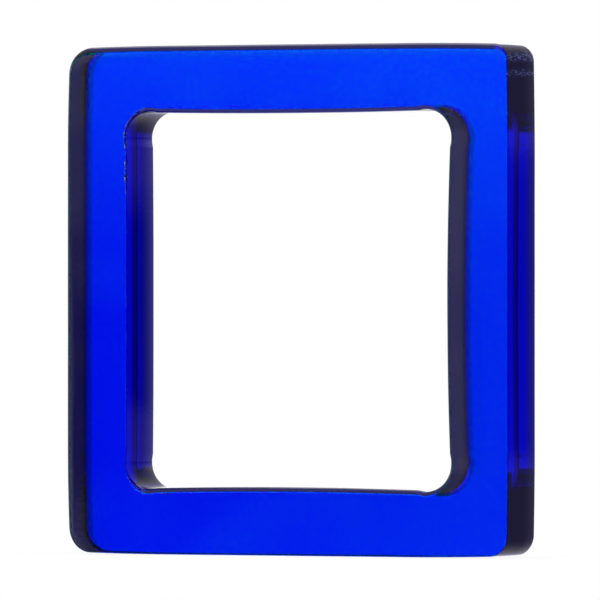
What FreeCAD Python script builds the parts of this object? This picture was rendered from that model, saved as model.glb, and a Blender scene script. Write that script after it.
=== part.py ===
import FreeCAD, Part
import math
import os

# A rectangular ring cut from clear sheet, standing on its foot with a rounded opening through it.
# X runs across the ring, Y through the sheet with the front face at -Y, and Z up from the foot.
# Sizes are in millimetres.

# Overall sizes, taken at the middle of each side
width = 72.6
height = 75.25
depth = 10.0  # thickness of the sheet

# Bars between the outside and the opening, taken at the middle of each side
left_bar = 10.13
right_bar = 9.98
top_bar = 10.15
bottom_bar = 10.1

# Outside: each side is straight in the middle, and eased away towards its rounded corners
straight_across = 39.0  # straight run of the foot and of the top
straight_up = 42.0  # straight run of the left and right sides

# Easing: how far each side has fallen away where it would meet the next one
foot_ease = 0.3
right_ease = 0.2
top_ease = 0.3
left_ease = 0.42

# Outer corners, filed by hand: each one's radius
bottom_right_radius = 2.9
top_right_radius = 2.5
top_left_radius = 3.9
bottom_left_radius = 3.9

# Opening: its corners are drilled, wider on the right, then it is sawn from hole to hole by bowed cuts
left_drill = 7.8
right_drill = 8.3
drill_relief = 0.15  # how far a drilled corner reaches past the end of a sawn side
left_bow = 0.1
right_bow = 0.5
top_bow = 0.25
bottom_bow = 0.3
ridge_radius = 2.0  # rounding of the ridge where a sawn side runs into a drilled corner
cut_overrun = 1.0  # how far the opening's tool body runs past the two faces

# Polished rounding along the edges of the two faces
outer_edge_radius = 0.75
inner_edge_radius = 0.65

# The opening's sides at their middles, and the opening's centre
opening_left = left_bar - width / 2
opening_right = width / 2 - right_bar
opening_bottom = bottom_bar
opening_top = height - top_bar
opening_centre_x = (opening_left + opening_right) / 2
opening_centre_z = (opening_bottom + opening_top) / 2

through = FreeCAD.Vector(0, 1, 0)  # the direction through the sheet


def point(x, z):
    """A place in the plane that both outlines are drawn in."""
    return FreeCAD.Vector(x, 0, z)


def meeting(centre_a, reach_a, centre_b, reach_b, near):
    """The place at these distances from two centres, on the side where near lies."""
    span = centre_b - centre_a
    along = (reach_a**2 - reach_b**2 + span.Length**2) / (2 * span.Length)
    off = math.sqrt(reach_a**2 - along**2)
    axis = span / span.Length
    across = axis.cross(through)
    foot = centre_a + axis * along
    return min(foot + across * off, foot - across * off, key=near.distanceToPoint)


def touch(circle_a, circle_b):
    """The place where two circles touch, one inside the other or side by side."""
    small, large = sorted((circle_a, circle_b), key=lambda circle: circle.Radius)
    towards = small.Center - large.Center
    return large.Center + towards * (large.Radius / towards.Length)


def arc(circle, start, end):
    """The short arc of a circle from start to end."""
    outward = (start + end) / 2 - circle.Center
    middle = circle.Center + outward * (circle.Radius / outward.Length)
    return Part.Arc(start, middle, end).toShape()


def prism(edges, front, thickness):
    """A closed outline as a solid from Y = front backwards."""
    face = Part.Face(Part.Wire(edges))
    face.translate(through * front)
    return face.extrude(through * thickness)


class EasedSide:
    """One outer side: a straight run about its middle, and a circle that eases each end inwards."""

    def __init__(self, middle, along, straight, full, ease):
        ease_run = (full - straight) / 2
        radius = (ease_run**2 + ease**2) / (2 * ease)
        inward = along.cross(through)
        self.start = middle - along * (straight / 2)
        self.end = middle + along * (straight / 2)
        self.corner = middle + along * (full / 2)
        self.start_circle = Part.Circle(self.start + inward * radius, through, radius)
        self.end_circle = Part.Circle(self.end + inward * radius, through, radius)


def outer_corner(side, after, radius):
    """The edges from one side's straight run to the next one's, round the corner between them."""
    ease_in, ease_out = side.end_circle, after.start_circle
    reach_in = ease_in.Radius - radius
    reach_out = ease_out.Radius - radius
    centre = meeting(ease_in.Center, reach_in, ease_out.Center, reach_out, side.corner)
    corner = Part.Circle(centre, through, radius)
    return [
        arc(ease_in, side.end, touch(ease_in, corner)),
        arc(corner, touch(ease_in, corner), touch(corner, ease_out)),
        arc(ease_out, touch(corner, ease_out), after.start),
    ]


def block():
    """The outside of the ring, before the opening is cut."""
    sides = [
        EasedSide(point(0, 0), point(1, 0), straight_across, width, foot_ease),
        EasedSide(point(width / 2, height / 2), point(0, 1), straight_up, height, right_ease),
        EasedSide(point(0, height), point(-1, 0), straight_across, width, top_ease),
        EasedSide(point(-width / 2, height / 2), point(0, -1), straight_up, height, left_ease),
    ]
    radii = [bottom_right_radius, top_right_radius, top_left_radius, bottom_left_radius]
    edges = []
    for index, side in enumerate(sides):
        after = sides[(index + 1) % len(sides)]
        edges.append(Part.makeLine(side.start, side.end))
        edges.extend(outer_corner(side, after, radii[index]))
    return prism(edges, -depth / 2, depth)


def hole(x, z, diameter):
    """The circle of a drilled hole."""
    return Part.Circle(point(x, z), through, diameter / 2)


def ridge(side, side_middle, drill):
    """The circle that rounds the ridge between a sawn side and a drilled corner."""
    reach_side = side.Radius - ridge_radius
    reach_drill = drill.Radius + ridge_radius
    centre = meeting(side.Center, reach_side, drill.Center, reach_drill, side_middle)
    return Part.Circle(centre, through, ridge_radius)


def drilled_corner(side_before, middle_before, drill, side_after, middle_after):
    """A drilled corner, with the rounded ridges where the sawn sides before and after run into it."""
    return [ridge(side_before, middle_before, drill), drill, ridge(side_after, middle_after, drill)]


def opening():
    """The tool body of the opening: sawn sides between drilled corners."""
    # How far the sawn sides stand out at their ends
    sawn_left = opening_left - left_bow
    sawn_right = opening_right + right_bow
    sawn_bottom = opening_bottom - bottom_bow
    sawn_top = opening_top + top_bow
    # Where the corners are drilled
    left_inset = left_drill / 2 - drill_relief
    right_inset = right_drill / 2 - drill_relief
    bottom_left = hole(sawn_left + left_inset, sawn_bottom + left_inset, left_drill)
    bottom_right = hole(sawn_right - right_inset, sawn_bottom + right_inset, right_drill)
    top_right = hole(sawn_right - right_inset, sawn_top - right_inset, right_drill)
    top_left = hole(sawn_left + left_inset, sawn_top - left_inset, left_drill)
    # The middle of each side, and the side's circle from end to end through it
    bottom_middle = point(opening_centre_x, opening_bottom)
    right_middle = point(opening_right, opening_centre_z)
    top_middle = point(opening_centre_x, opening_top)
    left_middle = point(opening_left, opening_centre_z)
    bottom_ends = point(bottom_left.Center.x, sawn_bottom), point(bottom_right.Center.x, sawn_bottom)
    right_ends = point(sawn_right, bottom_right.Center.z), point(sawn_right, top_right.Center.z)
    top_ends = point(top_right.Center.x, sawn_top), point(top_left.Center.x, sawn_top)
    left_ends = point(sawn_left, top_left.Center.z), point(sawn_left, bottom_left.Center.z)
    bottom = Part.Circle(bottom_ends[0], bottom_middle, bottom_ends[1])
    right = Part.Circle(right_ends[0], right_middle, right_ends[1])
    top = Part.Circle(top_ends[0], top_middle, top_ends[1])
    left = Part.Circle(left_ends[0], left_middle, left_ends[1])
    # All the outline's circles in turn, each touching the next
    circles = [
        bottom,
        *drilled_corner(bottom, bottom_middle, bottom_right, right, right_middle),
        right,
        *drilled_corner(right, right_middle, top_right, top, top_middle),
        top,
        *drilled_corner(top, top_middle, top_left, left, left_middle),
        left,
        *drilled_corner(left, left_middle, bottom_left, bottom, bottom_middle),
    ]
    edges = []
    for index, circle in enumerate(circles):
        after = circles[(index + 1) % len(circles)]
        edges.append(arc(circle, touch(circles[index - 1], circle), touch(circle, after)))
    return prism(edges, -depth / 2 - cut_overrun, depth + 2 * cut_overrun)


def rim_edges(solid, outer):
    """The outer or the inner edges of the front and back faces."""
    edges = []
    for face in solid.Faces:
        faces_through = isinstance(face.Surface, Part.Plane) and face.Surface.Axis.isParallel(through, 0.001)
        if faces_through:
            for wire in face.Wires:
                if wire.isSame(face.OuterWire) == outer:
                    edges.extend(wire.Edges)
    return edges


def ring():
    """The finished ring: the block, its opening and its rounded rims."""
    solid = block().cut(opening())
    solid = solid.makeFillet(inner_edge_radius, rim_edges(solid, outer=False))
    return solid.makeFillet(outer_edge_radius, rim_edges(solid, outer=True))


os.makedirs("parts", exist_ok=True)
ring().exportStep("parts/ring.step")
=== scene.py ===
import bpy
import cmath
import math
import numpy as np
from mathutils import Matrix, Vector, noise


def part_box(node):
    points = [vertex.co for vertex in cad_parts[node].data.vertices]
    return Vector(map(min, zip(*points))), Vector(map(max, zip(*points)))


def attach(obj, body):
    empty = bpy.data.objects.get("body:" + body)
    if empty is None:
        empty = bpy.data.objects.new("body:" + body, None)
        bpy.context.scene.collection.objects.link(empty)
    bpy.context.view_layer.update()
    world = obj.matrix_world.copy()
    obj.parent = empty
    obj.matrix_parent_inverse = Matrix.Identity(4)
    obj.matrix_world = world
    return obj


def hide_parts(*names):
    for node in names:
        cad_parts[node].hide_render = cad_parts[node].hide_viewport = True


# A rectangular ring of clear deep-blue sheet, standing on a pale floor in soft studio light.
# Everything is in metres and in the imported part's frame: X across, -Y out of the front face, Z up.

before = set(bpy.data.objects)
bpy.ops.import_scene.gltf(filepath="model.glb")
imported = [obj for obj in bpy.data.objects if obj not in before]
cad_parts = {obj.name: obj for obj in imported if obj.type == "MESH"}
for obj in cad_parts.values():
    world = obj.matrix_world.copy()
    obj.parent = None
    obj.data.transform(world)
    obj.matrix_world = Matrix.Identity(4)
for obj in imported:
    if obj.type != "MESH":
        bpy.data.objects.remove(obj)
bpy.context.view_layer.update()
ring_low, ring_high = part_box("ring")

# Overall sizes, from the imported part
width = ring_high.x - ring_low.x
height = ring_high.z - ring_low.z
depth = ring_high.y - ring_low.y

# Bars between the outside and the opening, at the middle of each side
left_bar = 0.01013
right_bar = 0.00998
top_bar = 0.01015
bottom_bar = 0.0101

# Outside: straight in the middle of each side, eased away towards rounded corners
straight_across = 0.039
straight_up = 0.042
foot_ease = 0.0003
right_ease = 0.0002
top_ease = 0.0003
left_ease = 0.00042
bottom_right_radius = 0.0029
top_right_radius = 0.0025
top_left_radius = 0.0039
bottom_left_radius = 0.0039

# Opening: drilled corners, wider on the right, joined by sawn sides that bow into it
left_drill = 0.0078
right_drill = 0.0083
drill_relief = 0.00015
left_bow = 0.0001
right_bow = 0.0005
top_bow = 0.00025
bottom_bow = 0.0003
ridge_radius = 0.0020

# Radius of the two faces' edges, where the side that they border faces left, right, up and down
outer_front_edge = (0.00068, 0.00012, 0.00095, 0.00012)
outer_back_edge = (0.00125, 0.0005, 0.001, 0.00025)
inner_front_edge = (0.00052, 0.00012, 0.00079, 0.00073)
inner_back_edge = (0.0011, 0.0005, 0.00095, 0.00085)

# Painted shade on those edges, from 0 for none to 1 for nearly black, in the same order: it stands in for
# the dark bands along them
outer_front_dull = (1, 0, 1, 0)
outer_back_dull = (0.2, 0, 1, 0.3)
inner_front_dull = (1, 0, 1, 0.9)
inner_back_dull = (0, 0, 1, 0.5)

# What polishing has worn away: the faces along their outer left and top borders
face_roll = 0.00002
left_roll = 0.4  # share of it on the left
roll_width = 0.0013

# What polishing has worn away: walls that face right, from a place on Y towards the back
outer_fall = 0.0002
outer_fall_start = 0.0005
inner_fall = 0.0005
inner_fall_start = -0.0008
corner_fall = 0.0001  # the bottom right corner's own, on top of the right side's

# Mesh steps: round the ring, and round its section
steps_side = 96
steps_corner = 32
crowding = 0.8  # how much closer together the steps along a side are towards its ends
steps_face = 20
steps_edge = 8
steps_wall = 36

# Polishing ripple, as heights of the surface
ripple_height = 0.000012
ripple_length = 0.009

# Chips along the opening's front edge on the left, just below its top corner
chip_depth = 0.0003
chip_length = 0.0006
chip_drop = 0.0062  # how far below the opening's top their middle is
chip_reach = 0.0065  # how far from their middle they go
chip_fade = 0.4  # share of that reach over which they die away
chip_level = 0.6
chip_unevenness = 0.8

# Sanding marks on the right side: how far each one is below the top, and half its breadth
sanding_marks = ((0.0021, 0.0008), (0.0045, 0.0006))
sanding_wave = 0.0018  # how far their ragged edges wander
sanding_noise = (900.0, 3.0)  # scale and detail of that wandering
sanding_edge = (0.2, 1.4)  # where each one dies away, as shares of half its breadth
sanding_level = (0.6, 1.0)  # strength at the front and at the back

# Painted sheen: a strong neutral reflection put on the faces beside the edges that face left, over the dark
# bands there
wear_reach = 0.0029
wear_fade = 0.0009
wear_low = 1.7  # strength at the foot
wear_high = 0.6  # strength at the top
drill_wear = 0.6  # how much of it is left beside the drilled corners
corner_facing = (0.93, 0.99)  # how far a border faces left inside a corner, and along a side

# Where the surface turns: how far it faces out of the sheet, from 0 on a wall to 1 on a face
wall_turn = (0.5, 0.95)
# where the painted shade on an edge fades out towards the face
dull_turn = (0.982, 0.9995)
edge_turn = (0.95, 0.995)
flat_turn = (0.9985, 0.9998)

# Colours, as red, green, blue and a last 1, and the dye's strength
white = (1, 1, 1, 1)
black = (0, 0, 0, 1)
dye_colour = (0.007, 0.2, 0.981, 1)
dye_density = 750.0
# painted shade: the walls are coloured darker than the faces, so that they show darker
wall_shade = (0.3, 0.3, 0.72, 1)
# painted shade: the nearly black colour of the shaded edges, also put on chips
dull_tint = (0.005, 0.005, 0.008, 1)
face_gloss_low = (0.0, 0.65, 0.75, 1)
face_gloss_high = (0.0, 1.15, 1.25, 1)
edge_gloss = (0.95, 0.85, 1.0, 1)
# painted sheen: the gloss of the faces beside the edges that face left, stronger than plain reflection
sheen_gloss = (1.25, 1.17, 1.2, 1)
mark_gloss = (9.0, 12.0, 17.0, 1)

# Polish: refraction, and noises as scale and detail, the stretch of their values that shows, and strengths
refraction = 1.49
grain_noise = (1400.0, 2.0)
grain_shows = (0.3, 0.7)
grain_height = 0.000003
grain_strength = 0.6
haze_noise = (180.0, 3.0)
haze_shows = (0.5, 0.75)
haze_roughness = 0.012
wall_roughness = 0.05
speck_noise = (4200.0, 4.0)
speck_stretch = (1.0, 0.3, 1.0)  # drawn out through the sheet, the way that it was sanded
speck_shows = (0.42, 0.64)
mark_roughness = 0.45
# how far chips take the edges' painted shade
chip_dulling = 0.9
chip_specks = 0.8
full_wear = 0.25  # painted sheen above which a face's own gloss is gone
full_dullness = 0.5  # painted shade above which an edge has all of its own gloss

# Studio: levels of light as ramps over an angle, each as two angles in degrees and the level at each.
# Bearings run from 0 at the back through -90 at the left to -180 at the front, and rises from level.
above_level = (2.0, 22.0, 1.0, 0.4)

# Seen straight through the ring: a backdrop that is dimmest near level, with a dim left
backdrop_rise = -0.5
backdrop_bowl = 0.054
backdrop_low = 0.97
backdrop_high = 1.12
straight_far_left = (-140, -110, 1.0, 0.3)
straight_left = (-60, -32, 0.3, 1.0)
straight_reach = (20, 50, 1.0, 0.0)  # how steep the dim left goes

# Seen by light that the walls have turned: a dimmer left, and a darker top and bottom
turned_left = (-110, -60, 0.33, 1.0)
turned_far_left = (-156.2, -148.5, 1.0, 0.33)
turned_front = (-170, -160, 0.2, 1.0)
turned_steep = (6, 14, 1.0, 0.06)

# Mirrored by the ring: the soft edge of a light in front, a bright left, and a dimmer floor below
light_edge = -153.5
light_gain = 0.2  # for each degree past its edge
light_level = 0.29
light_low = 0.1
light_high = 1.1
light_breadth = (6, 20, 1.0, 0.0)  # past its edge
lift_rise = -0.55
lift_bowl = 0.27
lift_high = 1.1
glow_rise = (1.7, 6.0, 0.0, 1.2)
glow_fade = (8.0, 16.0, 0.0, -0.4)
bright_left = (-153.2, -148, 0.0, 1.1)
floor_level = (-12.0, -2.0, 0.7, 1.0)

# A flag at the back and right, as shares that it covers, dark blue with a paler rim above and below
flag_rim = (-25.5, -17, 0.0, 0.5)
flag_body = (-17, 29.5, 0.0, 0.5)
flag_end = (150, 178, 1.0, 0.0)
flag_height = (5, 9, 1.0, 0.0)
flag_middle = -0.05
flag_edge = (0.78, 0.92, 0.0, 1.0)
flag_dark = (0.003, 0.003, 0.01, 1)
flag_pale = (0.1, 0.085, 0.28, 1)
flag_through = (0.004, 0.004, 0.06, 1)

# A round floor just under the foot, that shows its paint and the shadow close to the ring
floor_radius = 0.6
floor_steps = 96
floor_drop = 0.00002
floor_paint = (0.9, 0.9, 0.9, 1)
floor_fade = (0.0, 0.012, 0.9, 1.0)  # distances from the ring, and the share of plain white at each

# One large soft lamp, overhead and a little behind the ring
lamp_size = 0.5
lamp_power = 1.3  # in watts
lamp_place = (-0.1, 0.22, 0.6)

# The camera, level with the ring's middle and turned to its right
camera_turn = math.radians(26.5)
camera_distance = 1.65
camera_lens = 0.6715
sensor_width = 0.036
camera_far = 100
aim = Vector((0.00002, 0.0, height / 2))


def meeting(circle_a, circle_b, near):
    """The place at these two circles' radii from their centres, on the side where near lies."""
    (centre_a, reach_a), (centre_b, reach_b) = circle_a, circle_b
    span = centre_b - centre_a
    along = (reach_a**2 - reach_b**2 + abs(span) ** 2) / (2 * abs(span))
    off = math.sqrt(reach_a**2 - along**2)
    axis = span / abs(span)
    places = [centre_a + axis * (along + side * off) for side in (1j, -1j)]
    return min(places, key=lambda place: abs(place - near))


def touch(circle_a, circle_b):
    """The place where two circles touch, one inside the other or side by side."""
    (small, _), (large, radius) = sorted((circle_a, circle_b), key=lambda circle: circle[1])
    return large + (small - large) / abs(small - large) * radius


def circle_through(a, b, c):
    """The circle through three places."""
    turned = (c - a) / (b - a)
    centre = (b - a) * (turned - abs(turned) ** 2) / (2j * turned.imag) + a
    return centre, abs(a - centre)


class Run:
    """A stretch of outline from start to end, along a circle or straight."""

    def __init__(self, start, end, circle=None):
        self.start = start
        self.end = end
        self.circle = circle
        if circle is None:
            self.length = abs(end - start)
        else:
            self.turn = cmath.phase((end - circle[0]) / (start - circle[0]))
            self.length = circle[1] * abs(self.turn)

    def at(self, distance):
        """The place at a distance along the run, and the direction to its right."""
        if self.circle is None:
            along = (self.end - self.start) / self.length
            return self.start + along * distance, along * -1j
        centre, radius = self.circle
        spoke = (self.start - centre) * cmath.rect(1, self.turn * distance / self.length)
        return centre + spoke, spoke / radius * math.copysign(1, self.turn)


class EasedSide:
    """One outer side: a straight run about its middle, and a circle that eases each end inwards."""

    def __init__(self, middle, along, straight, full, ease):
        ease_run = (full - straight) / 2
        radius = (ease_run**2 + ease**2) / (2 * ease)
        inward = along * 1j * radius
        self.start = middle - along * straight / 2
        self.end = middle + along * straight / 2
        self.tip = middle + along * full / 2
        self.start_circle = (self.start + inward, radius)
        self.end_circle = (self.end + inward, radius)

    def corner(self, after, radius):
        """The circle of the rounded corner between this side and the one after it."""
        reach_in = (self.end_circle[0], self.end_circle[1] - radius)
        reach_out = (after.start_circle[0], after.start_circle[1] - radius)
        return meeting(reach_in, reach_out, self.tip), radius


class SawnSide:
    """One side of the opening: a circle from end to end through its middle."""

    def __init__(self, start, middle, end):
        self.middle = middle
        self.circle = circle_through(start, middle, end)

    def ridge(self, drill):
        """The circle that rounds the ridge between this side and a drilled corner."""
        reach_side = (self.circle[0], self.circle[1] - ridge_radius)
        reach_drill = (drill[0], drill[1] + ridge_radius)
        return meeting(reach_side, reach_drill, self.middle), ridge_radius


def outer_stretches():
    """The outside as sides and corners in turn, from the foot round to the right."""
    half_up = 1j * height / 2
    sides = [
        EasedSide(0, 1, straight_across, width, foot_ease),
        EasedSide(width / 2 + half_up, 1j, straight_up, height, right_ease),
        EasedSide(1j * height, -1, straight_across, width, top_ease),
        EasedSide(-width / 2 + half_up, -1j, straight_up, height, left_ease),
    ]
    radii = [bottom_right_radius, top_right_radius, top_left_radius, bottom_left_radius]
    afters = sides[1:] + sides[:1]
    corners = [side.corner(after, radius) for side, after, radius in zip(sides, afters, radii)]
    stretches = []
    for index, (side, after, corner) in enumerate(zip(sides, afters, corners)):
        begin = touch(corners[index - 1], side.start_circle)
        arrive = touch(side.end_circle, corner)
        leave = touch(corner, after.start_circle)
        stretches.append([
            Run(begin, side.start, side.start_circle),
            Run(side.start, side.end),
            Run(side.end, arrive, side.end_circle),
        ])
        stretches.append([Run(arrive, leave, corner)])
    return stretches


def opening_stretches():
    """The opening as sawn sides and drilled corners in turn, from its bottom round to the right."""
    # The sides at their middles, and how far the sawn sides stand out at their ends
    low_x = left_bar - width / 2
    high_x = width / 2 - right_bar
    low_z = bottom_bar
    high_z = height - top_bar
    middle_x = (low_x + high_x) / 2
    middle_z = (low_z + high_z) / 2
    sawn_left = low_x - left_bow
    sawn_right = high_x + right_bow
    sawn_bottom = low_z - bottom_bow
    sawn_top = high_z + top_bow
    # Where the corners are drilled
    left_inset = left_drill / 2 - drill_relief
    right_inset = right_drill / 2 - drill_relief
    drill_left = sawn_left + left_inset
    drill_right = sawn_right - right_inset
    bottom_right = complex(drill_right, sawn_bottom + right_inset)
    top_right = complex(drill_right, sawn_top - right_inset)
    top_left = complex(drill_left, sawn_top - left_inset)
    bottom_left = complex(drill_left, sawn_bottom + left_inset)
    drills = [
        (bottom_right, right_drill / 2),
        (top_right, right_drill / 2),
        (top_left, left_drill / 2),
        (bottom_left, left_drill / 2),
    ]
    sides = [
        SawnSide(
            complex(drill_left, sawn_bottom),
            complex(middle_x, low_z),
            complex(drill_right, sawn_bottom),
        ),
        SawnSide(
            complex(sawn_right, bottom_right.imag),
            complex(high_x, middle_z),
            complex(sawn_right, top_right.imag),
        ),
        SawnSide(
            complex(drill_right, sawn_top),
            complex(middle_x, high_z),
            complex(drill_left, sawn_top),
        ),
        SawnSide(
            complex(sawn_left, top_left.imag),
            complex(low_x, middle_z),
            complex(sawn_left, bottom_left.imag),
        ),
    ]
    stretches = []
    for index, (side, drill) in enumerate(zip(sides, drills)):
        after = sides[(index + 1) % len(sides)]
        first = side.ridge(drill)
        second = after.ridge(drill)
        begin = touch(side.ridge(drills[index - 1]), side.circle)
        end = touch(side.circle, first)
        enter = touch(first, drill)
        leave = touch(drill, second)
        finish = touch(second, after.circle)
        stretches.append([Run(begin, end, side.circle)])
        stretches.append([Run(end, enter, first), Run(enter, leave, drill), Run(leave, finish, second)])
    return stretches


def sample(stretches):
    """Places and right-hand directions round an outline, as two arrays of x and z."""
    places, rights = [], []
    for index, runs in enumerate(stretches):
        is_corner = index % 2
        steps = steps_corner if is_corner else steps_side
        squeeze = 0 if is_corner else crowding
        total = sum(run.length for run in runs)
        for step in range(steps):
            share = step / steps
            distance = total * (share - squeeze * math.sin(math.tau * share) / math.tau)
            for run in runs:
                if distance <= run.length or run is runs[-1]:
                    break
                distance -= run.length
            place, right = run.at(distance)
            places.append((place.real, place.imag))
            rights.append((right.real, right.imag))
    return np.array(places), np.array(rights)


def between(share, low, high):
    """A value part of the way from low to high."""
    return low + (high - low) * share


def by_facing(out, values):
    """A column of values round a side, between those for facing left, right, up and down."""
    left, right, up, down = values
    x, z = out[:, :1], out[:, 1:]
    return np.where(x < 0, left, right) * x**2 + np.where(z < 0, down, up) * z**2


def chips(edge):
    """How chipped an edge is at each of its places, from 0 to 1, as a column."""
    middle = np.array((left_bar - width / 2, height - top_bar - chip_drop))
    near = (1 - np.linalg.norm(edge - middle, axis=1) / chip_reach).clip(0, chip_fade) / chip_fade
    rough = np.array([noise.noise(Vector((x, 0, z)) / chip_length) for x, z in edge])
    return (near * (chip_level + chip_unevenness * rough).clip(0, 1))[:, None]


class Side:
    """The outer or the inner side of the ring: its outline, what faces out of it, its edges with their
    painted shade, its chips, and the painted sheen of the faces beside it.
    """

    def __init__(self, edge, out, is_outer):
        self.edge = edge
        self.out = out
        # How far each place faces right, left, up and down, from 0 to 1, in columns
        right, up = out[:, :1].clip(0, 1), out[:, 1:].clip(0, 1)
        left, down = -out[:, :1].clip(-1, 0), -out[:, 1:].clip(-1, 0)
        if is_outer:
            self.fall_start = outer_fall_start
            self.fall = outer_fall * right + corner_fall * 2 * right * down
            self.front = by_facing(out, outer_front_edge)
            self.back = by_facing(out, outer_back_edge)
            # painted shade on the edges: how nearly black each is coloured, by which way it faces
            self.front_dull = by_facing(out, outer_front_dull)
            self.back_dull = by_facing(out, outer_back_dull)
            self.roll = face_roll * np.maximum(left_roll * left, up)
            self.chips = 0 * right
            self.corner_wear = 1
        else:
            self.fall_start = inner_fall_start
            self.fall = inner_fall * right
            self.front = by_facing(out, inner_front_edge)
            self.back = by_facing(out, inner_back_edge)
            self.front_dull = by_facing(out, inner_front_dull)
            self.back_dull = by_facing(out, inner_back_dull)
            self.roll = 0 * right
            self.chips = chips(edge)
            self.corner_wear = drill_wear
        self.front = self.front + chip_depth * self.chips
        self.limit = depth / 2 - self.roll
        # The front face's border where the side faces left, from the bottom up, and how far it does
        facing_left = np.column_stack((self.front_border(), left))[out[:, 0] < 0]
        self.left_border = facing_left[facing_left[:, 1].argsort()]

    def fallen(self, y):
        """The outline at places on Y, where the wall has fallen away towards the back."""
        share = ((y - self.fall_start) / (depth / 2 - self.fall_start)).clip(0, None)
        return self.edge - self.out * self.fall * share**2

    def front_border(self):
        """Where the rounded edge meets the front face."""
        return self.edge - self.out * self.front

    def back_border(self):
        """Where the rounded edge meets the back face."""
        return self.fallen(self.limit) - self.out * self.back

    def wear(self, xz):
        """How much painted sheen the faces take, from 0 to 1: only in a band to the right of a border that
        faces left.
        """
        x, z = xz.T
        border_x, border_z, facing = self.left_border.T
        nearest_x = np.interp(z, border_z, border_x, -1, -1)
        level = np.interp(np.interp(z, border_z, facing), corner_facing, (self.corner_wear, 1))
        in_band = ((wear_reach - x + nearest_x) / wear_fade).clip(0, 1) * (x > nearest_x - wear_fade)
        return level * in_band


class Section:
    """The ring's surface, as rows once round the ring that follow each other round its section."""

    def __init__(self):
        self.points = []
        self.outs = []
        self.marks = {"wear": [], "chips": [], "dull": []}

    def add(self, xz, y, out_xz, out_y, **marks):
        """Adds a row of points, of directions out of the surface, and of its marks: painted sheen, chips
        and painted shade.
        """
        count = len(xz)
        self.points.append(np.column_stack((xz[:, 0], np.broadcast_to(np.ravel(y), count), xz[:, 1])))
        self.outs.append(np.column_stack((out_xz[:, 0], np.full(count, out_y), out_xz[:, 1])))
        for name, rows in self.marks.items():
            rows.append(np.broadcast_to(np.ravel(marks.get(name, 0)), count))

    def rounding(self, side, facing, start, end):
        """Adds a side's rounded edge at the front, facing -1, or at the back, facing 1."""
        is_front = facing < 0
        radius = side.front if is_front else side.back
        # the edge's painted shade
        dull = side.front_dull if is_front else side.back_dull
        for step in range(steps_edge):
            angle = between(step / steps_edge, start, end)
            y = facing * (side.limit - radius) + radius * math.sin(angle)
            xz = side.fallen(y) - side.out * radius * (1 - math.cos(angle))
            out_xz = side.out * math.cos(angle)
            self.add(xz, y, out_xz, math.sin(angle), chips=side.chips * is_front, dull=dull)

    def wall(self, side, start, end):
        """Adds a side's wall between its rounded edges."""
        for step in range(steps_wall):
            y = between(step / steps_wall, start, end)
            self.add(side.fallen(y), y, side.out, 0)

    def face(self, start_side, start, end_side, end, facing):
        """Adds the front face, facing -1, or the back face, facing 1, from one border to the other."""
        reach = np.linalg.norm(end - start, axis=1, keepdims=True)
        for step in range(steps_face):
            share = (1 - math.cos(math.pi * step / steps_face)) / 2
            xz = between(share, start, end)
            roll = start_side.roll * (1 - share * reach / roll_width).clip(0, 1) ** 3
            roll = roll + end_side.roll * (1 - (1 - share) * reach / roll_width).clip(0, 1) ** 3
            # painted sheen beside the left-facing edges
            wear = np.maximum(start_side.wear(xz), end_side.wear(xz))
            self.add(xz, facing * (depth / 2 - roll), np.zeros_like(xz), facing, wear=wear)


def whole_section(outer, inner):
    """The surface once round the section, from the opening over the front face, outside and back face."""
    quarter = math.pi / 2
    section = Section()
    section.face(inner, inner.front_border(), outer, outer.front_border(), -1)
    section.rounding(outer, -1, -quarter, 0)
    section.wall(outer, outer.front - outer.limit, outer.limit - outer.back)
    section.rounding(outer, 1, 0, quarter)
    section.face(outer, outer.back_border(), inner, inner.back_border(), 1)
    section.rounding(inner, 1, quarter, 0)
    section.wall(inner, inner.limit - inner.back, inner.front - inner.limit)
    section.rounding(inner, -1, 0, -quarter)
    return section


def rippled(points, outs):
    """The points moved along their outward directions by the polishing ripple."""
    places = points.reshape(-1, 3)
    heights = [ripple_height * noise.noise(Vector(place) / ripple_length) for place in places]
    return points + outs * np.array(heights).reshape(points.shape[:2] + (1,))


def ring_mesh():
    """The ring's closed surface, a grid of quads round the ring and round its section."""
    outer_edge, outer_right = sample(outer_stretches())
    inner_edge, inner_right = sample(opening_stretches())
    outer = Side(outer_edge, outer_right, True)
    inner = Side(inner_edge, -inner_right, False)
    section = whole_section(outer, inner)
    points = rippled(np.array(section.points), np.array(section.outs))
    row_count, column_count = points.shape[:2]
    index = np.arange(row_count * column_count).reshape(row_count, column_count)
    across = np.roll(index, -1, axis=1)
    next_row = np.roll(index, -1, axis=0)
    next_across = np.roll(across, -1, axis=0)
    quads = np.stack((index, next_row, next_across, across), axis=-1)
    mesh = bpy.data.meshes.new("ring_surface")
    mesh.from_pydata(points.reshape(-1, 3).tolist(), [], quads.reshape(-1, 4).tolist())
    mesh.polygons.foreach_set("use_smooth", [True] * len(mesh.polygons))
    for name, rows in section.marks.items():
        attribute = mesh.attributes.new(name, "FLOAT", "POINT")
        attribute.data.foreach_set("value", np.array(rows).ravel().astype(np.float32))
    mesh.update()
    return mesh


def make_object(name, mesh):
    """A mesh as an object of the scene."""
    made = bpy.data.objects.new(name, mesh)
    bpy.context.scene.collection.objects.link(made)
    return made


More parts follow.
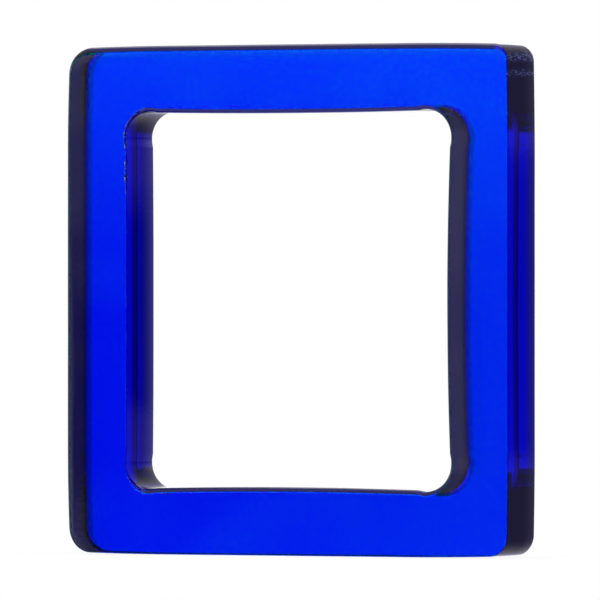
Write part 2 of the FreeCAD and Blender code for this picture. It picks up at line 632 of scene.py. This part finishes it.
class Nodes:
    """Adds nodes to one tree and links them, with few words."""

    def __init__(self, tree):
        self.tree = tree
        tree.nodes.clear()

    def add(self, kind, inputs=None, **settings):
        """A new node, with values or other nodes' outputs at its inputs."""
        made = self.tree.nodes.new(kind)
        for name, value in settings.items():
            setattr(made, name, value)
        for name, value in (inputs or {}).items():
            self.feed(made.inputs[name], value)
        return made

    def feed(self, socket, value):
        """Links another node's output to an input, or sets a plain value there."""
        if isinstance(value, bpy.types.NodeSocket):
            self.tree.links.new(value, socket)
        else:
            socket.default_value = value

    def math(self, operation, *values):
        """One step of arithmetic on numbers."""
        return self.add("ShaderNodeMath", dict(enumerate(values)), operation=operation).outputs[0]

    def vector(self, operation, *values):
        """One step of arithmetic on vectors, as a node."""
        return self.add("ShaderNodeVectorMath", dict(enumerate(values)), operation=operation)

    def axes(self, vector):
        """A vector's X, Y and Z."""
        return self.add("ShaderNodeSeparateXYZ", {0: vector}).outputs

    def attribute(self, name):
        """A value that the mesh holds for each of its points."""
        return self.add("ShaderNodeAttribute", attribute_name=name).outputs["Fac"]

    def cloud(self, place, scale, detail):
        """Noise between 0 and 1."""
        settings = {"Vector": place, "Scale": scale, "Detail": detail}
        return self.add("ShaderNodeTexNoise", settings).outputs["Fac"]

    def ramp(self, value, low, high, to_low, to_high):
        """A smooth step of a value, from to_low at low to to_high at high."""
        settings = {"Value": value, "From Min": low, "From Max": high, "To Min": to_low, "To Max": to_high}
        return self.add("ShaderNodeMapRange", settings, interpolation_type="SMOOTHSTEP").outputs[0]

    def mix(self, share, low, high):
        """A number between two others, or a colour between two others or past them."""
        ends = (low, high)
        is_colour = any(isinstance(end, tuple) or getattr(end, "type", "") == "RGBA" for end in ends)
        kind = "RGBA" if is_colour else "FLOAT"
        made = self.add("ShaderNodeMix", data_type=kind, clamp_factor=not is_colour)
        sockets = [socket for socket in made.inputs if socket.enabled]
        for socket, value in zip(sockets, (share, low, high)):
            self.feed(socket, value)
        return [socket for socket in made.outputs if socket.enabled][0]


def sanded(nodes, place, on_wall):
    """How rough sanding has left each place, from 0 to 1: ragged bands on the right side near its top."""
    x, y, z = nodes.axes(place)
    ragged = nodes.cloud(place, *sanding_noise)
    wavy = nodes.math("MULTIPLY_ADD", ragged, sanding_wave, z)
    edge_start, edge_end = sanding_edge
    bands = 0.0
    for drop, half in sanding_marks:
        middle = height - drop + sanding_wave / 2
        gap = nodes.math("ABSOLUTE", nodes.math("SUBTRACT", wavy, middle))
        band = nodes.ramp(gap, edge_start * half, edge_end * half, 1.0, 0.0)
        bands = nodes.math("ADD", band, bands)
    on_right = nodes.math("GREATER_THAN", x, width / 2 - right_bar / 2)
    on_side = nodes.math("MULTIPLY", on_wall, on_right)
    level = nodes.ramp(y, -depth / 2, depth / 2, *sanding_level)
    return nodes.math("MULTIPLY", bands, nodes.math("MULTIPLY", on_side, level))


def marked(nodes, place, on_wall, chipped):
    """How pale and rough each place is, from 0 to 1: specks where it was sanded and where it is chipped."""
    chip_marks = nodes.math("MULTIPLY", chipped, chip_specks)
    marks = nodes.math("MAXIMUM", sanded(nodes, place, on_wall), chip_marks)
    drawn_out = nodes.vector("MULTIPLY", place, speck_stretch).outputs[0]
    specks = nodes.ramp(nodes.cloud(drawn_out, *speck_noise), *speck_shows, 0.0, 1.0)
    return nodes.math("MULTIPLY", marks, specks)


def surface_tint(nodes, facing_out, on_wall, dull, chipped):
    """Colour: full on the faces, darker on the walls as painted shade, and painted shade next to black on
    the eased edges and on chips.
    """
    # painted shade: the walls darker than the faces
    tint = nodes.mix(on_wall, white, wall_shade)
    # painted shade: eased edges and chips coloured nearly black
    on_dull = nodes.math("MULTIPLY", dull, nodes.ramp(facing_out, *dull_turn, 1.0, 0.0))
    dulled = nodes.math("MAXIMUM", on_dull, nodes.math("MULTIPLY", chipped, chip_dulling))
    return nodes.mix(dulled, tint, dull_tint)


def surface_gloss(nodes, place, facing_out, on_wall, dull, grain):
    """Gloss: mottled blue on the faces, a strong neutral painted sheen in bands beside their left-facing
    edges, and neutral on the edges with painted shade and on the walls.
    """
    z = nodes.axes(place)[2]
    flat = nodes.ramp(facing_out, *flat_turn, 0.0, 1.0)
    # painted sheen beside the left-facing edges, stronger at the foot than at the top
    wear = nodes.math("MULTIPLY", nodes.attribute("wear"), flat)
    strength = nodes.math("MULTIPLY_ADD", z, (wear_high - wear_low) / height, wear_low)
    sheened = nodes.mix(nodes.math("MULTIPLY", strength, wear), black, sheen_gloss)
    mottled = nodes.ramp(grain, *grain_shows, 0.0, 1.0)
    gloss = nodes.mix(mottled, face_gloss_low, face_gloss_high)
    gloss = nodes.mix(nodes.ramp(wear, 0.0, full_wear, 0.0, 1.0), gloss, sheened)
    # edges with painted shade take the edges' neutral gloss
    is_dull = nodes.ramp(dull, 0.0, full_dullness, 0.0, 1.0)
    on_edge = nodes.math("MULTIPLY", is_dull, nodes.ramp(facing_out, *edge_turn, 1.0, 0.0))
    return nodes.mix(nodes.math("MAXIMUM", on_edge, on_wall), gloss, edge_gloss)


def surface_roughness(nodes, place, on_wall, marks):
    """Polish: clear on the faces with a faint haze in patches, hazier on the walls, rough in the marks."""
    haze = nodes.cloud(place, *haze_noise)
    roughness = nodes.ramp(haze, *haze_shows, 0.0, haze_roughness)
    roughness = nodes.math("MULTIPLY_ADD", on_wall, wall_roughness, roughness)
    return nodes.math("MULTIPLY_ADD", marks, mark_roughness, roughness)


def clear_blue():
    """Clear deep-blue acrylic: polished, with the colour taken up through its thickness."""
    material = bpy.data.materials.new("clear_blue")
    material.use_nodes = True
    nodes = Nodes(material.node_tree)
    coordinates = nodes.add("ShaderNodeTexCoord").outputs
    place = coordinates["Object"]
    facing_out = nodes.math("ABSOLUTE", nodes.axes(coordinates["Normal"])[1])
    on_wall = nodes.ramp(facing_out, *wall_turn, 1.0, 0.0)
    # painted shade on the eased edges, as the mesh holds it
    dull = nodes.attribute("dull")
    chipped = nodes.attribute("chips")
    grain = nodes.cloud(place, *grain_noise)
    marks = marked(nodes, place, on_wall, chipped)
    gloss = surface_gloss(nodes, place, facing_out, on_wall, dull, grain)
    bump = nodes.add("ShaderNodeBump", {
        "Height": grain,
        "Distance": grain_height,
        "Strength": grain_strength,
    })
    glass = nodes.add("ShaderNodeBsdfPrincipled", {
        "Base Color": surface_tint(nodes, facing_out, on_wall, dull, chipped),
        "Roughness": surface_roughness(nodes, place, on_wall, marks),
        "IOR": refraction,
        "Transmission Weight": 1.0,
        "Specular Tint": nodes.mix(marks, gloss, mark_gloss),
        "Normal": bump.outputs[0],
    })
    dye = nodes.add("ShaderNodeVolumeAbsorption", {"Color": dye_colour, "Density": dye_density})
    nodes.add("ShaderNodeOutputMaterial", {"Surface": glass.outputs[0], "Volume": dye.outputs[0]})
    return material


def bowl(nodes, rise, middle, steepness, lowest):
    """A level that goes up with the square of the rise from the middle."""
    off = nodes.math("POWER", nodes.math("SUBTRACT", rise, middle), 2.0)
    return nodes.math("MULTIPLY_ADD", off, steepness, lowest)


def seen_through(nodes, bearing, rise, slope, turned):
    """What shows through the ring: a backdrop with a dim left, and less where walls turned the light."""
    backdrop = bowl(nodes, rise, backdrop_rise, backdrop_bowl, backdrop_low)
    backdrop = nodes.math("MINIMUM", backdrop, backdrop_high)
    dim_left = nodes.ramp(bearing, *straight_left)
    dim_left = nodes.math("MAXIMUM", dim_left, nodes.ramp(bearing, *straight_far_left))
    straight = nodes.mix(nodes.ramp(slope, *straight_reach), 1.0, dim_left)
    dark_left = nodes.ramp(bearing, *turned_left)
    dark_left = nodes.math("MAXIMUM", nodes.ramp(bearing, *turned_far_left), dark_left)
    dark_left = nodes.math("MULTIPLY", dark_left, nodes.ramp(bearing, *turned_front))
    around = nodes.math("MULTIPLY", dark_left, nodes.ramp(slope, *turned_steep))
    return nodes.math("MULTIPLY", backdrop, nodes.mix(turned, straight, around))


def mirrored(nodes, bearing, rise):
    """What the ring mirrors: the soft edge of a light in front, a bright left, and a dimmer floor below."""
    past_edge = nodes.math("SUBTRACT", light_edge, bearing)
    light = nodes.math("MULTIPLY_ADD", past_edge, light_gain, light_level)
    light = nodes.math("MINIMUM", nodes.math("MAXIMUM", light, light_low), light_high)
    lift = bowl(nodes, rise, lift_rise, lift_bowl, 0.0)
    light = nodes.math("ADD", light, nodes.math("MINIMUM", lift, lift_high))
    light = nodes.math("ADD", light, nodes.ramp(rise, *glow_rise))
    light = nodes.math("ADD", light, nodes.ramp(rise, *glow_fade))
    light = nodes.math("MULTIPLY", light, nodes.ramp(past_edge, *light_breadth))
    bright = nodes.math("MAXIMUM", light, nodes.ramp(bearing, *bright_left))
    return nodes.math("MULTIPLY", bright, nodes.ramp(rise, *floor_level))


def flag_share(nodes, bearing, slope, turned):
    """How much of each direction the flag covers, from 0 to 1."""
    share = nodes.math("ADD", nodes.ramp(bearing, *flag_rim), nodes.ramp(bearing, *flag_body))
    share = nodes.math("MULTIPLY", share, nodes.ramp(bearing, *flag_end))
    is_low = nodes.math("MAXIMUM", nodes.ramp(slope, *flag_height), turned)
    return nodes.math("MULTIPLY", share, is_low)


def flag_colour(nodes, rise, through):
    """The flag's colour: where the ring mirrors it, paler above and below its middle."""
    off_middle = nodes.math("ABSOLUTE", nodes.math("SUBTRACT", rise, flag_middle))
    in_mirror = nodes.mix(nodes.ramp(off_middle, *flag_edge), flag_dark, flag_pale)
    return nodes.mix(through, in_mirror, flag_through)


def studio_world():
    """A white background, and round the ring a pale studio that a flag darkens at the back and right."""
    world = bpy.data.worlds.new("studio")
    bpy.context.scene.world = world
    world.use_nodes = True
    nodes = Nodes(world.node_tree)
    path = nodes.add("ShaderNodeLightPath").outputs
    through = path["Is Transmission Ray"]
    turned = nodes.math("GREATER_THAN", path["Glossy Depth"], 0.5)
    x, y, z = nodes.axes(nodes.add("ShaderNodeTexCoord").outputs["Generated"])
    bearing = nodes.math("DEGREES", nodes.math("ARCTAN2", x, y))
    rise = nodes.math("DEGREES", nodes.math("ARCSINE", z))
    slope = nodes.math("ABSOLUTE", rise)
    behind = seen_through(nodes, bearing, rise, slope, turned)
    level = nodes.mix(through, mirrored(nodes, bearing, rise), behind)
    level = nodes.math("MULTIPLY", level, nodes.ramp(rise, *above_level))
    lit = nodes.mix(level, black, white)
    covered = flag_share(nodes, bearing, slope, turned)
    lit = nodes.mix(covered, lit, flag_colour(nodes, rise, through))
    colour = nodes.mix(path["Is Camera Ray"], lit, white)
    background = nodes.add("ShaderNodeBackground", {"Color": colour, "Strength": 1.0})
    nodes.add("ShaderNodeOutputWorld", {"Surface": background.outputs[0]})


def pale_floor():
    """The floor's material: white to the camera, but near the ring partly a paint that takes its shadow."""
    material = bpy.data.materials.new("pale_floor")
    material.use_nodes = True
    nodes = Nodes(material.node_tree)
    place = nodes.add("ShaderNodeTexCoord").outputs["Object"]
    from_middle = nodes.vector("ABSOLUTE", place).outputs[0]
    past_ring = nodes.vector("SUBTRACT", from_middle, (width / 2, depth / 2, 0)).outputs[0]
    outside = nodes.vector("MAXIMUM", past_ring, (0, 0, 0)).outputs[0]
    distance = nodes.vector("LENGTH", outside).outputs["Value"]
    fade = nodes.ramp(distance, *floor_fade)
    paint = nodes.add("ShaderNodeBsdfDiffuse", {"Color": floor_paint}).outputs[0]
    plain = nodes.add("ShaderNodeEmission", {"Color": white, "Strength": 1.0}).outputs[0]
    shadowed = nodes.add("ShaderNodeMixShader", {0: fade, 1: paint, 2: plain})
    nodes.add("ShaderNodeOutputMaterial", {"Surface": shadowed.outputs[0]})
    return material


def floor():
    """A round pale table top that keeps the ring's shadow."""
    mesh = bpy.data.meshes.new("floor")
    turns = [math.tau * step / floor_steps for step in range(floor_steps)]
    rim = [(floor_radius * math.cos(turn), floor_radius * math.sin(turn), 0) for turn in turns]
    mesh.from_pydata(rim, [], [range(floor_steps)])
    mesh.materials.append(pale_floor())
    made = make_object("floor", mesh)
    made.location.z = -floor_drop
    made.visible_glossy = False
    made.visible_transmission = False


def soft_lamp():
    """The lamp, turned towards the ring and out of the camera's sight."""
    lamp = bpy.data.lights.new("softbox", "AREA")
    lamp.shape = "SQUARE"
    lamp.size = lamp_size
    lamp.energy = lamp_power
    made = bpy.data.objects.new("softbox", lamp)
    made.location = lamp_place
    made.rotation_euler = (aim - made.location).to_track_quat("-Z", "Y").to_euler()
    made.visible_camera = False
    bpy.context.scene.collection.objects.link(made)


def camera():
    """The camera, level and turned to the ring's right."""
    lens = bpy.data.cameras.new("camera")
    lens.sensor_width = sensor_width * 1000
    lens.lens = camera_lens * 1000
    lens.clip_end = camera_far
    made = bpy.data.objects.new("camera", lens)
    back = Vector((math.sin(camera_turn), -math.cos(camera_turn), 0))
    made.location = aim + back * camera_distance
    made.rotation_euler = (-back).to_track_quat("-Z", "Y").to_euler()
    bpy.context.scene.collection.objects.link(made)
    bpy.context.scene.camera = made


ring = make_object("clear_ring", ring_mesh())
ring.data.materials.append(clear_blue())
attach(ring, "root")
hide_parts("ring")

studio_world()
floor()
soft_lamp()
camera()
bpy.context.scene.view_settings.view_transform = "Standard"
